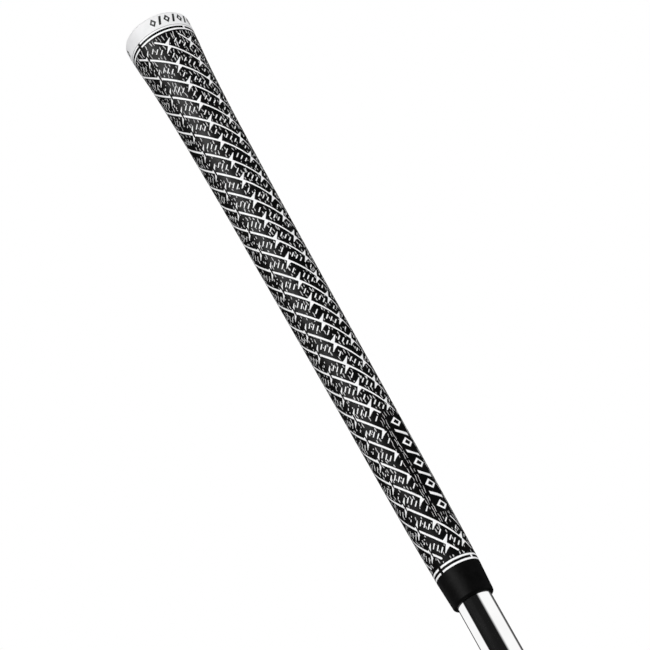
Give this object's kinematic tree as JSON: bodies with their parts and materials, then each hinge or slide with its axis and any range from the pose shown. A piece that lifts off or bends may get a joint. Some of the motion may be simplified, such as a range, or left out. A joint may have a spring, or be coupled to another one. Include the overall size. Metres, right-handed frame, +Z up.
{
  "type": "golf grip",
  "caption": "Corded black rubber golf club grip with a white vented end cap, ring lines and a spiral pattern, bonded to the chromed butt of a steel shaft.",
  "frame": {"origin": "centre of the shaft's lower, cut end", "axes": "+Z up the shaft's axis to the butt cap; -Y faces the middle of the front panel, and the two panels meet at +X and -X"},
  "size_m": [0.0276, 0.0276, 0.315],
  "materials": {
    "chromed_steel": "mirror bright",
    "adhesive_tape": "matte",
    "core_rubber": "matte",
    "cord_rubber": "matte, with cotton cord in it",
    "collar_rubber": "satin",
    "white_rubber": "satin",
    "white_paint": "satin paint",
    "black_paint": "satin paint"
  },
  "bodies": {
    "root": {"shaft_tube": "chromed_steel", "grip_tape": "adhesive_tape", "inner_sleeve": "core_rubber", "front_cord_panel": "cord_rubber", "back_cord_panel": "cord_rubber", "mouth_collar": "collar_rubber", "end_cap": "white_rubber", "front_butt_ring": "white_paint", "back_butt_ring": "white_paint", "front_mouth_ring": "white_paint", "back_mouth_ring": "white_paint", "front_panel_marks": "white_paint", "back_panel_marks": "white_paint", "front_cap_marks": "black_paint", "back_cap_marks": "black_paint"}
  },
  "joints": []
}
